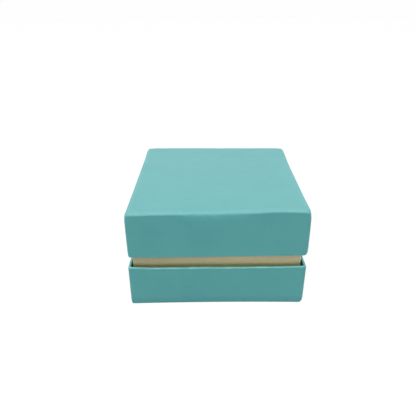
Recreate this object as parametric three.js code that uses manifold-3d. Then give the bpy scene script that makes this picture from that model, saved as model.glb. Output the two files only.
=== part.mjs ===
// Square rigid jewelry gift box with a raised neck ("shoulder" box).
//
// Millimetres, +Z up. The origin is the centre of the underside, where the box stands.
// The front of the box faces -Y.
//
// The box is built the way a set-up box is built on a bench:
//   - a base tray and a lid tray, each of five greyboard panels held at the corners by
//     paper stays and wrapped in one sheet of coloured paper turned in over the rim;
//   - a neck of four greyboard strips covered in cream paper, glued inside the base, which
//     stands proud of the rim, shows as a band, and locates the lid that slides over it;
//   - a loose pad inside the neck: card, a layer of foam, two foam strips with the ring slit
//     between them, and a velvet cover.

import * as THREE from 'three';
import { mergeVertices } from 'three/addons/utils/BufferGeometryUtils.js';
import Module from 'manifold-3d';

const wasm = await Module();
wasm.setup();

// ---------------------------------------------------------------- driving dimensions
const HALF = 45.0; // half the outside width of the base and of the lid
const BASE_H = 22.1; // height of the base, floor to rim
const BAND_H = 7.2; // height of neck that shows between the rim and the lid
const LID_H = 24.2; // height of the lid, rim to top
const TOTAL_H = BASE_H + BAND_H + LID_H;

const PAPER = 0.12; // covering and lining paper
const STAY = 0.08; // thin paper stay taped round each board corner
const BOARD = 1.0; // greyboard
const TURN_IN = 14.0; // how far the covering paper is turned in over a rim
const TURN_UNDER = 15.0; // how far it is turned under the base
const FOOT_HALF = 42.0; // half width of the sheet that closes the underside
const STAY_LEG = 12.0; // length of each leg of a corner stay

const NECK_HALF = 43.05; // half the outside width of the covered neck
const NECK_CLEAR = 0.05; // air between the neck's top edge and the lid's lining

const PAD_HALF = 41.4; // half the outside width of the velvet pad
const PAD_TOP = 33.5; // top face of the pad
const PAD_LIFT = 0.05; // air under the pad
const VELVET = 0.5; // velvet cover
const CARD = 1.0; // card under the foam
const GLUE = 0.05; // room for the velvet's glue line round the foam
const SLIT_WIDTH = 2.0; // ring slit between the two upper foam strips
const SLIT_DEPTH = 16.0;

// ---------------------------------------------------------------- derived dimensions
const BOARD_OUT = HALF - PAPER - STAY; // outer face of the tray boards
const BOARD_IN = BOARD_OUT - BOARD; // inner face of the tray boards
const LINE_IN = BOARD_IN - PAPER; // inner face of the turned-in paper
const LID_Z = BASE_H + BAND_H; // underside of the lid's rim
const FLOOR_Z = 2 * PAPER; // underside of the base's bottom board
const DECK_Z = FLOOR_Z + BOARD; // top of the bottom board
const LINER_Z = DECK_Z + PAPER; // top of the base's lining
const LID_BOARD_TOP = TOTAL_H - PAPER;
const LID_BOARD_BOT = LID_BOARD_TOP - BOARD;
const LID_LINER_BOT = LID_BOARD_BOT - PAPER;
const NECK_TOP = LID_LINER_BOT - NECK_CLEAR;
const NECK_OUT = NECK_HALF - PAPER; // outer face of the neck boards
const NECK_IN = NECK_OUT - BOARD; // inner face of the neck boards
const PAD_BOT = LINER_Z + PAD_LIFT;
const FOAM_HALF = PAD_HALF - VELVET - GLUE;
const FOAM_BOT = PAD_BOT + CARD;
const FOAM_TOP = PAD_TOP - VELVET;
const FOAM_SPLIT = PAD_TOP - SLIT_DEPTH; // bottom of the slit, where the foam layers are glued

// ---------------------------------------------------------------- materials
const paperTeal = () => new THREE.MeshStandardMaterial({ color: '#6fbcbc', roughness: 0.55, metalness: 0 });
const paperCream = () => new THREE.MeshStandardMaterial({ color: '#d9d0a8', roughness: 0.7, metalness: 0 });
const paperLiner = () => new THREE.MeshStandardMaterial({ color: '#ece7d6', roughness: 0.8, metalness: 0 });
const paperStay = () => new THREE.MeshStandardMaterial({ color: '#c9a878', roughness: 0.85, metalness: 0 });
const greyboard = () => new THREE.MeshStandardMaterial({ color: '#9a968c', roughness: 0.95, metalness: 0 });
const foamGrey = () => new THREE.MeshStandardMaterial({ color: '#3d3d40', roughness: 1, metalness: 0 });
const velvetCream = () => new THREE.MeshStandardMaterial({ color: '#efe6cf', roughness: 1, metalness: 0 });

// ---------------------------------------------------------------- helpers
const round4 = (v) => Math.round(v * 1e4) / 1e4;

// keeps only positions, with shared corners merged and put on a 0.0001 mm grid
function clean(geometry) {
  const g = geometry.clone();
  for (const name of Object.keys(g.attributes)) if (name !== 'position') g.deleteAttribute(name);
  const p = g.attributes.position;
  for (let i = 0; i < p.count; i++) p.setXYZ(i, round4(p.getX(i)), round4(p.getY(i)), round4(p.getZ(i)));
  return mergeVertices(g, 1e-4);
}

// a solid in manifold-3d from a closed three.js geometry, and back
function toSolid(geometry) {
  const g = clean(geometry);
  const mesh = new wasm.Mesh({
    numProp: 3,
    vertProperties: new Float32Array(g.attributes.position.array),
    triVerts: new Uint32Array(g.index.array),
  });
  return new wasm.Manifold(mesh);
}
function fromSolid(solid) {
  const m = solid.getMesh();
  const g = new THREE.BufferGeometry();
  g.setAttribute('position', new THREE.BufferAttribute(new Float32Array(m.vertProperties), 3));
  g.setIndex(new THREE.BufferAttribute(new Uint32Array(m.triVerts), 1));
  g.computeVertexNormals();
  return g;
}

// a panel between two opposite corners
function panel(x0, x1, y0, y1, z0, z1) {
  const g = new THREE.BoxGeometry(x1 - x0, y1 - y0, z1 - z0);
  g.translate((x0 + x1) / 2, (y0 + y1) / 2, (z0 + z1) / 2);
  return g;
}

// a folded skin: a profile of [half width, height] points carried round the four sides of
// a square, with mitred corners. It is a lathe of four segments turned onto +Z.
function squareLathe(profile) {
  const points = profile.map(([half, z]) => new THREE.Vector2(half * Math.SQRT2, z));
  const g = new THREE.LatheGeometry(points, 4, Math.PI / 4);
  g.rotateX(Math.PI / 2);
  const c = clean(g);
  // drop the empty triangles left where a profile meets the axis
  const idx = c.index.array;
  const keep = [];
  for (let i = 0; i < idx.length; i += 3) {
    const [a, b, d] = [idx[i], idx[i + 1], idx[i + 2]];
    if (a !== b && b !== d && a !== d) keep.push(a, b, d);
  }
  // faces point out: the signed volume has to be positive
  const p = c.attributes.position;
  const A = new THREE.Vector3(), B = new THREE.Vector3(), D = new THREE.Vector3();
  let volume = 0;
  for (let i = 0; i < keep.length; i += 3) {
    A.fromBufferAttribute(p, keep[i]);
    B.fromBufferAttribute(p, keep[i + 1]);
    D.fromBufferAttribute(p, keep[i + 2]);
    volume += A.dot(B.cross(D));
  }
  if (volume < 0) for (let i = 0; i < keep.length; i += 3) [keep[i + 1], keep[i + 2]] = [keep[i + 2], keep[i + 1]];
  c.setIndex(keep);
  c.computeVertexNormals();
  return c;
}

// an L-shaped paper stay round one vertical corner of a tray
function cornerStay(sx, sy, z0, z1) {
  const o = BOARD_OUT + STAY;
  const i = BOARD_OUT;
  const e = o - STAY_LEG;
  const s = new THREE.Shape();
  s.moveTo(o, o);
  s.lineTo(e, o);
  s.lineTo(e, i);
  s.lineTo(i, i);
  s.lineTo(i, e);
  s.lineTo(o, e);
  s.closePath();
  const g = new THREE.ExtrudeGeometry(s, { depth: z1 - z0, bevelEnabled: false, steps: 1 });
  g.translate(0, 0, z0);
  // the same stay is turned, not mirrored, to the other three corners
  const turns = sx > 0 ? (sy > 0 ? 0 : -1) : sy > 0 ? 1 : 2;
  g.rotateZ((turns * Math.PI) / 2);
  return clean(g);
}

const box = new THREE.Group();
box.name = 'jewelry_gift_box';
const baseGroup = new THREE.Group();
baseGroup.name = 'base';
const lidGroup = new THREE.Group();
lidGroup.name = 'lid';
const padGroup = new THREE.Group();
padGroup.name = 'pad';
box.add(baseGroup, padGroup, lidGroup);

function add(group, name, geometry, material) {
  const mesh = new THREE.Mesh(geometry, material);
  mesh.name = name;
  group.add(mesh);
  return mesh;
}

// ---------------------------------------------------------------- base tray
add(baseGroup, 'base_foot_sheet', panel(-FOOT_HALF, FOOT_HALF, -FOOT_HALF, FOOT_HALF, 0, PAPER), paperTeal());
add(baseGroup, 'base_bottom_board', panel(-BOARD_OUT, BOARD_OUT, -BOARD_OUT, BOARD_OUT, FLOOR_Z, DECK_Z), greyboard());

// four wall boards: front and back run the full width, left and right stand between them
function walls(group, prefix, z0, z1, out, thick) {
  const inn = out - thick;
  add(group, `${prefix}_front_board`, panel(-out, out, -out, -inn, z0, z1), greyboard());
  add(group, `${prefix}_back_board`, panel(-out, out, inn, out, z0, z1), greyboard());
  add(group, `${prefix}_left_board`, panel(-out, -inn, -inn, inn, z0, z1), greyboard());
  add(group, `${prefix}_right_board`, panel(inn, out, -inn, inn, z0, z1), greyboard());
}
const CORNERS = [['front_left', -1, -1], ['front_right', 1, -1], ['back_left', -1, 1], ['back_right', 1, 1]];

walls(baseGroup, 'base', DECK_Z, BASE_H - PAPER, BOARD_OUT, BOARD);
for (const [corner, sx, sy] of CORNERS) {
  add(baseGroup, `base_corner_stay_${corner}`, cornerStay(sx, sy, FLOOR_Z, BASE_H - PAPER), paperStay());
}
// covering paper: turned under the bottom, up the walls, over the rim and down inside
add(
  baseGroup,
  'base_wrap',
  squareLathe([
    [HALF, PAPER],
    [HALF, BASE_H],
    [LINE_IN, BASE_H],
    [LINE_IN, BASE_H - TURN_IN],
    [BOARD_IN, BASE_H - TURN_IN],
    [BOARD_IN, BASE_H - PAPER],
    [HALF - PAPER, BASE_H - PAPER],
    [HALF - PAPER, FLOOR_Z],
    [HALF - TURN_UNDER, FLOOR_Z],
    [HALF - TURN_UNDER, PAPER],
    [HALF, PAPER],
  ]),
  paperTeal(),
);
add(baseGroup, 'base_liner', panel(-BOARD_IN + 0.1, BOARD_IN - 0.1, -BOARD_IN + 0.1, BOARD_IN - 0.1, DECK_Z, LINER_Z), paperLiner());

// ---------------------------------------------------------------- neck, glued in the base
walls(baseGroup, 'neck', LINER_Z, NECK_TOP - PAPER, NECK_OUT, BOARD);
// cream paper up the outside, over the top edge and down the inside
add(
  baseGroup,
  'neck_wrap',
  squareLathe([
    [NECK_HALF, LINER_Z],
    [NECK_HALF, NECK_TOP],
    [NECK_IN - PAPER, NECK_TOP],
    [NECK_IN - PAPER, LINER_Z],
    [NECK_IN, LINER_Z],
    [NECK_IN, NECK_TOP - PAPER],
    [NECK_OUT, NECK_TOP - PAPER],
    [NECK_OUT, LINER_Z],
    [NECK_HALF, LINER_Z],
  ]),
  paperCream(),
);

// ---------------------------------------------------------------- pad, loose in the neck
// card, a plain foam layer, and over it two foam strips with the ring slit between them
add(padGroup, 'pad_card', panel(-FOAM_HALF, FOAM_HALF, -FOAM_HALF, FOAM_HALF, PAD_BOT, FOAM_BOT), greyboard());
add(padGroup, 'pad_foam_core', panel(-FOAM_HALF, FOAM_HALF, -FOAM_HALF, FOAM_HALF, FOAM_BOT, FOAM_SPLIT), foamGrey());
add(padGroup, 'pad_foam_front_strip', panel(-FOAM_HALF, FOAM_HALF, -FOAM_HALF, -SLIT_WIDTH / 2, FOAM_SPLIT, FOAM_TOP), foamGrey());
add(padGroup, 'pad_foam_back_strip', panel(-FOAM_HALF, FOAM_HALF, SLIT_WIDTH / 2, FOAM_HALF, FOAM_SPLIT, FOAM_TOP), foamGrey());
// velvet over the top and down the sides, open above the slit
const slitTool = toSolid(panel(-FOAM_HALF, FOAM_HALF, -SLIT_WIDTH / 2, SLIT_WIDTH / 2, FOAM_TOP - 1, PAD_TOP + 5));
add(
  padGroup,
  'pad_cover',
  fromSolid(
    toSolid(
      squareLathe([
        [0, PAD_TOP],
        [PAD_HALF, PAD_TOP],
        [PAD_HALF, PAD_BOT],
        [PAD_HALF - VELVET, PAD_BOT],
        [PAD_HALF - VELVET, FOAM_TOP],
        [0, FOAM_TOP],
      ]),
    ).subtract(slitTool),
  ),
  velvetCream(),
);

// ---------------------------------------------------------------- lid tray
add(lidGroup, 'lid_top_board', panel(-BOARD_OUT, BOARD_OUT, -BOARD_OUT, BOARD_OUT, LID_BOARD_BOT, LID_BOARD_TOP), greyboard());
walls(lidGroup, 'lid', LID_Z + PAPER, LID_BOARD_BOT, BOARD_OUT, BOARD);
for (const [corner, sx, sy] of CORNERS) {
  add(lidGroup, `lid_corner_stay_${corner}`, cornerStay(sx, sy, LID_Z + PAPER, LID_BOARD_TOP), paperStay());
}
// covering paper: across the top, down the walls, under the rim and up inside
add(
  lidGroup,
  'lid_wrap',
  squareLathe([
    [0, TOTAL_H],
    [HALF, TOTAL_H],
    [HALF, LID_Z],
    [LINE_IN, LID_Z],
    [LINE_IN, LID_Z + TURN_IN],
    [BOARD_IN, LID_Z + TURN_IN],
    [BOARD_IN, LID_Z + PAPER],
    [HALF - PAPER, LID_Z + PAPER],
    [HALF - PAPER, TOTAL_H - PAPER],
    [0, TOTAL_H - PAPER],
  ]),
  paperTeal(),
);
add(lidGroup, 'lid_liner', panel(-BOARD_IN + 0.1, BOARD_IN - 0.1, -BOARD_IN + 0.1, BOARD_IN - 0.1, LID_LINER_BOT, LID_BOARD_BOT), paperLiner());

export default box;
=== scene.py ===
import math
import random

import bpy
import numpy as np
from mathutils import Matrix, Vector, noise
from mathutils.kdtree import KDTree


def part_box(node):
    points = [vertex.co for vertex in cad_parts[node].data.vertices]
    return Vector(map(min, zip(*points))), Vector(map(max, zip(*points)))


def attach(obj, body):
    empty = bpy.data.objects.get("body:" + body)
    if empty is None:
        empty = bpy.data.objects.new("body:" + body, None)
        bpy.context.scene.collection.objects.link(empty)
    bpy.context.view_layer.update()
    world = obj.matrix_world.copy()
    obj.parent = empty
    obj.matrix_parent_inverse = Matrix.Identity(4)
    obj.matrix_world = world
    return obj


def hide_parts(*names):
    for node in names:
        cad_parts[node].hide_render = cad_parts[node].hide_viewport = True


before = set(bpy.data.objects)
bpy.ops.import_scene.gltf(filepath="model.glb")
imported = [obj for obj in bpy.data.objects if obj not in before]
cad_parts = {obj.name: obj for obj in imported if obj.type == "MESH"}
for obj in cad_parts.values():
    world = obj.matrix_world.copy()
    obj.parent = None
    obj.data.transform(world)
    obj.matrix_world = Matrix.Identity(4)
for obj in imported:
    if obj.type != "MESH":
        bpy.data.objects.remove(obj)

MM = 0.001
random.seed(7)
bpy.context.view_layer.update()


# ------------------------------------------------------------------ sizes from the frame
def span(node):
    lo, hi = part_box(node)
    return np.array(lo) / MM, np.array(hi) / MM


LID_LO, LID_HI = span("lid_wrap")
BASE_LO, BASE_HI = span("base_wrap")
NECK_LO, NECK_HI = span("neck_wrap")
HALF = float(LID_HI[0])                      # half width of lid and base
TOP = float(LID_HI[2])
LID_RIM = float(LID_LO[2])
BASE_RIM = float(BASE_HI[2])
PAPER = float(span("base_foot_sheet")[1][2])
BOARD_OUT = float(span("base_front_board")[1][0])
BOARD_IN = -float(span("base_front_board")[1][1])
THICK = BOARD_OUT - BOARD_IN
LINE_IN = BOARD_IN - PAPER
NECK_HALF = float(NECK_HI[0])
NECK_TOP = float(NECK_HI[2])
NECK_OUT = float(span("neck_front_board")[1][0])
NECK_IN = -float(span("neck_front_board")[1][1])
DECK = float(span("base_bottom_board")[1][2])
LINER_Z = float(NECK_LO[2])
PAD_HALF = float(span("pad_cover")[1][0])
PAD_TOP = float(span("pad_cover")[1][2])
PAD_BOT = float(span("pad_cover")[0][2])
VELVET = PAD_TOP - float(span("pad_foam_front_strip")[1][2])
TURN_IN = 14.0
TURN_UNDER = 15.0
R = 0.9                                      # folded vertical edges


# ------------------------------------------------------------------ mesh building
class Build:
    """Collects vertices (mm), faces and a per-vertex mark, then makes one closed mesh."""

    def __init__(self):
        self.co, self.faces, self.edge, self.cut = [], [], [], []

    def point(self, p, edge=0.0, cut=0.0):
        self.co.append((float(p[0]), float(p[1]), float(p[2])))
        self.edge.append(float(edge))
        self.cut.append(float(cut))
        return len(self.co) - 1

    def face(self, *ids):
        out = []
        for i in ids:
            if i not in out:
                out.append(i)
        if len(out) >= 3:
            self.faces.append(tuple(out))

    def join(self, a, b, closed=True):
        n = len(a)
        for i in range(n if closed else n - 1):
            j = (i + 1) % n
            self.face(a[i], a[j], b[j], b[i])

    def make(self, name, body, material, nodes, warp=None, smooth=True):
        co = np.array(self.co, float)
        if warp is not None:
            co = warp(co)
        v0 = co
        vol = 0.0
        for f in self.faces:
            for k in range(1, len(f) - 1):
                vol += np.dot(v0[f[0]], np.cross(v0[f[k]], v0[f[k + 1]]))
        faces = self.faces if vol > 0 else [tuple(reversed(f)) for f in self.faces]
        me = bpy.data.meshes.new(name)
        me.from_pydata([tuple(p * MM) for p in co], [], faces)
        me.validate(verbose=False)
        for key, values in (("edge", self.edge), ("cut", self.cut)):
            at = me.attributes.new(key, "FLOAT", "POINT")
            at.data.foreach_set("value", np.array(values, np.float32))
        me.update()
        ob = bpy.data.objects.new(name, me)
        bpy.context.scene.collection.objects.link(ob)
        ob.data.materials.append(material)
        if smooth:
            me.polygons.foreach_set("use_smooth", [True] * len(me.polygons))
            me.set_sharp_from_angle(angle=math.radians(50))
        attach(ob, body)
        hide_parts(*nodes)
        return ob


NEAR = [0.0, 0.3, 0.62, 0.78, 1.2, 1.7, 2.3, 3.1, 4.2, 6.0, 8.5, 11.5]


def spots(length, near=NEAR, mid=22, extra=()):
    """Positions along a straight side from -length to length, closer together at both ends."""
    ends = [-length + d for d in near]
    inner = list(np.linspace(-length + near[-1], length - near[-1], mid + 1)[1:-1])
    if extra:
        inner = sorted([p for p in inner if min(abs(p - e) for e in extra) > 0.6] + list(extra))
    return ends + inner + [length - d for d in reversed(near)]


ARC = 6


def ring(h, r, z, extra_y=(), mid=22):
    """One level of a rounded square: four sides and four corner arcs, anticlockwise from front left."""
    r = max(r, 0.0)
    L = h - r
    px, py = spots(L, mid=mid), spots(L, mid=mid, extra=extra_y)
    pts, kind = [], []

    def arc(cx, cy, a0):
        for k in range(1, ARC):
            a = math.radians(a0 + 90.0 * k / ARC)
            pts.append((cx + r * math.cos(a), cy + r * math.sin(a), z))
            kind.append(math.sin(math.pi * k / ARC))

    for x in px:
        pts.append((x, -h, z)); kind.append(0.0)
    arc(L, -L, -90)
    for y in py:
        pts.append((h, y, z)); kind.append(0.0)
    arc(L, L, 0)
    for x in reversed(px):
        pts.append((x, h, z)); kind.append(0.0)
    arc(-L, L, 90)
    for y in reversed(py):
        pts.append((-h, y, z)); kind.append(0.0)
    arc(-L, -L, 180)
    return pts, kind, len(px), len(py)


def add_ring(b, h, r, z, edge=0.0, cut=0.0, seam=0.0, extra_y=(), mid=22, shape=None):
    pts, kind, nx, ny = ring(h, r, z, extra_y, mid)
    ids = []
    for p, k in zip(pts, kind):
        x, y, zz = p
        if seam and abs(abs(y) - h) < 1e-6 and abs(x) > HALF - 1.45 and abs(x) <= h - r + 1e-6:
            y -= math.copysign(seam, y)      # the side flap lies one paper lower than the front flap
        if seam and k:
            x, y = x * (1 - seam / h), y * (1 - seam / h)
        if shape:
            x, y, zz = shape(x, y, zz)
        ids.append(b.point((x, y, zz), max(edge, 0.8 * k), cut))
    return ids


def add_cap(b, h, z, extra_y=(), mid=22, edge=0.0, shape=None, fold=None):
    """A square grid; returns its border in the order of a ring whose arcs are closed up to points."""
    px, py = spots(h, mid=mid), spots(h, mid=mid, extra=extra_y)
    grid = []
    for x in px:
        col = []
        for y in py:
            p = (x, y, z)
            if shape:
                p = shape(*p)
            e = edge
            if fold:
                e = max(e, fold[0] * max(0.0, 1 - (h + y) / fold[1]), 0.7 * fold[0] * max(0.0, 1 - (h - max(abs(x), y)) / (0.4 * fold[1])))
            col.append(b.point(p, e))
        grid.append(col)
    nx, ny = len(px), len(py)
    for i in range(nx - 1):
        for j in range(ny - 1):
            b.face(grid[i][j], grid[i + 1][j], grid[i + 1][j + 1], grid[i][j + 1])
    border = [grid[i][0] for i in range(nx)] + [grid[-1][0]] * (ARC - 1)
    border += [grid[-1][j] for j in range(ny)] + [grid[-1][-1]] * (ARC - 1)
    border += [grid[i][-1] for i in reversed(range(nx))] + [grid[0][-1]] * (ARC - 1)
    border += [grid[0][j] for j in reversed(range(ny))] + [grid[0][0]] * (ARC - 1)
    return border


def levels(a, b, step):
    n = max(1, int(round(abs(b - a) / step)))
    return [a + (b - a) * k / n for k in range(n + 1)]


def wrap_profile(height, re, rb, turn, t, wear_and_highlight=1.0):
    """The outer and inner skins of a tray's covering paper, as (half, radius, level, edge, cut, seam).

    level is measured from the rim (0) to the closed end (height).
    """
    outer = []
    for k in range(0, 7):
        a = math.radians(15 * k)
        outer.append((HALF - re + re * math.sin(a), R - re + re * math.sin(a), height - re * (1 - math.cos(a)),
                      math.sin(math.radians(30 * k)) if k < 6 else 0.2, 0, 0.0))
    wall = [height - re - 0.3] + levels(height - re - 1.2, rb + 1.2, 1.6) + [rb + 0.3, rb]
    for s in wall:
        outer.append((HALF, R, s, 0.0, 0, 0.06))
    for k in range(1, 7):
        # the rim folds carry an edge mark, scaled by the last argument, that paints them paler: wear plus a painted
        # highlight
        a = math.radians(15 * k)
        outer.append((HALF - rb * (1 - math.cos(a)), R - rb * (1 - math.cos(a)), rb * (1 - math.sin(a)),
                      wear_and_highlight * min(1.0, 0.35 + 0.25 * k), 0, 0.05 if k < 4 else 0.0))
    for k in range(6, -1, -1):
        a = math.radians(15 * k)
        outer.append((LINE_IN + rb * (1 - math.cos(a)), 0.3 + rb * (1 - math.cos(a)), rb * (1 - math.sin(a)),
                      wear_and_highlight * min(1.0, 0.2 + 0.2 * k), 0, 0.0))
    for s in [rb + 0.3] + levels(rb + 1.5, turn - 0.2, 1.6) + [turn]:
        outer.append((LINE_IN, 0.3, s, 0.0, 0, 0.0))
    inner = []
    for s in [turn] + levels(turn - 0.3, rb + 1.0, 4.0) + [rb]:
        inner.append((LINE_IN + t, 0.3 + t, s, 0.0, 1.0 if s == turn else 0.0, 0.0))
    for k in range(1, 7):
        a = math.radians(15 * k)
        inner.append((LINE_IN + rb - (rb - t) * math.cos(a), 0.3 + rb - (rb - t) * math.cos(a), rb - (rb - t) * math.sin(a), 0, 0, 0.0))
    for k in range(6, -1, -1):
        a = math.radians(15 * k)
        inner.append((HALF - rb + (rb - t) * math.cos(a), R - rb + (rb - t) * math.cos(a), rb - (rb - t) * math.sin(a), 0, 0, 0.0))
    for s in levels(rb + 1.0, height - re - 1.0, 4.0):
        inner.append((HALF - t, R - t, s, 0, 0, 0.0))
    for k in range(6, -1, -1):
        a = math.radians(15 * k)
        inner.append((HALF - re + (re - t) * math.sin(a), R - re + (re - t) * math.sin(a), height - re + (re - t) * math.cos(a), 0, 0, 0.0))
    return outer, inner


def plate(name, body, material, nodes, h, r, z0, z1, e, warp, mid=22, cut=0.0):
    """A flat sheet or board with rounded corners and softened edges."""
    b = Build()
    low = add_cap(b, h - r - 0.001, z0, mid=mid)
    rings = [low]
    for k in range(0, 4):
        a = math.radians(30 * k)
        rings.append(add_ring(b, h - e + e * math.sin(a), r - e + e * math.sin(a), z0 + e * (1 - math.cos(a)), cut=cut, mid=mid))
    for k in range(3, -1, -1):
        a = math.radians(30 * k)
        rings.append(add_ring(b, h - e + e * math.sin(a), r - e + e * math.sin(a), z1 - e * (1 - math.cos(a)), cut=cut, mid=mid))
    rings.append(add_cap(b, h - r - 0.001, z1, mid=mid))
    for a, c in zip(rings, rings[1:]):
        b.join(a, c)
    # caps are wound alike, so the upper one is turned by the volume test only as a whole: fix the lower one here
    n_low = (len(spots(h, mid=mid)) - 1) ** 2
    b.faces[:n_low] = [tuple(reversed(f)) for f in b.faces[:n_low]]
    return b.make(name, body, material, nodes, warp)


def band(name, body, material, nodes, outer, inner, z0, z1, e, warp, step=2.0, cut=0.0):
    """A bent or straight strip of board or paper stood on edge, with softened long edges."""
    b = Build()
    o, i = np.array(outer, float), np.array(inner, float)
    lv = []
    if e > 0:
        lv += [(z0 + e * (1 - math.cos(math.radians(a))), e * (1 - math.sin(math.radians(a)))) for a in (0, 30, 60, 90)]
        lv += [(z, 0.0) for z in levels(z0 + e, z1 - e, step)[1:-1]]
        lv += [(z1 - e * (1 - math.cos(math.radians(a))), e * (1 - math.sin(math.radians(a)))) for a in (90, 60, 30, 0)]
    else:
        lv = [(z, 0.0) for z in levels(z0, z1, step)]
    gap = i - o
    width = np.linalg.norm(gap, axis=1, keepdims=True)
    way = gap / np.maximum(width, 1e-9)
    loops, outs, inns = [], [], []
    for z, inset in lv:
        k = np.minimum(inset, 0.45 * width)
        oo = [b.point((p[0], p[1], z), cut=cut) for p in (o + way * k)]
        ii = [b.point((p[0], p[1], z), cut=cut) for p in (i - way * k)]
        outs.append(oo); inns.append(ii)
        loops.append(oo + ii[::-1])
    for a, c in zip(loops, loops[1:]):
        b.join(a, c)
    n = len(outs[0])
    for k in range(n - 1):
        b.face(outs[0][k + 1], outs[0][k], inns[0][k], inns[0][k + 1])
        b.face(outs[-1][k], outs[-1][k + 1], inns[-1][k + 1], inns[-1][k])
    return b.make(name, body, material, nodes, warp)


def turn(points, quarter):
    c, s = [(1, 0), (0, 1), (-1, 0), (0, -1)][quarter % 4]
    return [(c * x - s * y, s * x + c * y) for x, y in points]


def long_board(out, thick, r, quarter):
    """Plan of a wall board whose two outer ends are rounded at the box's corners."""
    L = out - r
    outer, inner = [(-out, -L)], [(-out, -(out - thick))]
    for k in range(1, 5):
        a = math.radians(180 + 90 * k / 5)
        outer.append((-L + r * math.cos(a), -L + r * math.sin(a)))
        inner.append((max(-out, outer[-1][0]), -(out - thick)))
    for x in spots(L):
        outer.append((x, -out)); inner.append((x, -(out - thick)))
    for k in range(1, 5):
        a = math.radians(270 + 90 * k / 5)
        outer.append((L + r * math.cos(a), -L + r * math.sin(a)))
        inner.append((outer[-1][0], -(out - thick)))
    outer.append((out, -L)); inner.append((out, -(out - thick)))
    return turn(outer, quarter), turn(inner, quarter)


def short_board(out, thick, quarter):
    L = out - thick
    ys = spots(L)
    return turn([(x, -out) for x in ys], quarter), turn([(x, -L) for x in ys], quarter)


def stay(out, leg, t, r, quarter):
    """Plan of a paper stay folded round the front left corner, then turned to its own corner."""
    o, i = out + t, out
    outer, inner = [], []
    for d in np.linspace(leg, r + 0.2, 6):
        outer.append((-o, -o + d)); inner.append((-i, -i + max(d - t, r - t)))
    for k in range(0, 7):
        a = math.radians(180 + 15 * k)
        outer.append((-(o - r) + r * math.cos(a), -(o - r) + r * math.sin(a)))
        inner.append((-(o - r) + (r - t) * math.cos(a), -(o - r) + (r - t) * math.sin(a)))
    for d in np.linspace(r + 0.2, leg, 6):
        outer.append((-o + d, -o)); inner.append((-i + max(d - t, r - t), -i))
    return turn(outer, quarter), turn(inner, quarter)


# ------------------------------------------------------------------ how the real one is out of true
def fbm(co, size, seed, octaves=2):
    out = np.empty(len(co))
    for k, p in enumerate(co):
        out[k] = noise.fractal(Vector((p[0] / size + seed, p[1] / size - seed * 0.7, p[2] / size + seed * 1.3)), 1.0, 2.0, octaves)
    return out


def step01(x):
    x = np.clip(x, 0, 1)
    return x * x * (3 - 2 * x)


def corner_pull(co, out, spots_):
    for c, w, a, r in spots_:
        d = np.linalg.norm(co - np.array(c, float), axis=1)
        k = a * np.clip(1 - (d / r) ** 2, 0, 1) ** 2
        w = np.array(w, float) / np.linalg.norm(w)
        out = out + w * k[:, None]
    return out


def round_corner(co, out, spots_):
    """Rubs a lower corner of a panel round, seen from the front: (corner, radius, amount, depth)."""
    for c, r, amount, depth in spots_:
        u = r - np.abs(co[:, 0] - c[0])
        v = r - np.abs(co[:, 2] - c[2])
        far = np.hypot(np.clip(u, 0, None), np.clip(v, 0, None))
        k = amount * np.clip(far - r, 0, None) * (u > 0) * (v > 0) * (1 - step01(np.abs(co[:, 1] - c[1]) / depth))
        sx = math.copysign(1.0, -c[0])
        far = np.maximum(far, 1e-9)
        out[:, 0] += sx * k * u / far
        out[:, 2] += k * v / far
    return out


def uneven(x, table):
    """A long edge's departure from straight (mm) at x, from a few readings, smoothed."""
    xs, ys = zip(*table)
    return (np.interp(x - 2.2, xs, ys) + 2 * np.interp(x, xs, ys) + np.interp(x + 2.2, xs, ys)) / 4


LID_FOLD = ((-45, 0.0), (-39, -0.01), (-33, 0.22), (-25, 0.25), (-19, 0.02), (-13, -0.15), (-8, -0.16), (-3, -0.27),
            (2, -0.21), (7, -0.02), (12, 0.15), (17, 0.21), (21, 0.35), (27, 0.74), (34, 0.64), (41, 0.22), (45, 0.0))
LID_LOW = ((-45, 0.14), (-40, 0.15), (-34, -0.02), (-24, -0.03), (-14, -0.06), (-4, -0.04), (6, 0.07), (16, 0.10),
           (26, 0.13), (34, 0.12), (40, 0.16), (45, -0.02))
BASE_LINE = ((-45, 0.50), (-42, 0.34), (-38, 0.16), (-33, 0.06), (-23, -0.08), (-13, 0.0), (-4, 0.03), (7, -0.15), (17, -0.18),
             (27, -0.25), (34, -0.12), (41, 0.02), (45, 0.0))


def bruise(x):
    """How far the top front fold is softened at x."""
    return step01((x + 21) / 9) * step01((20 - x) / 14)


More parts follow.
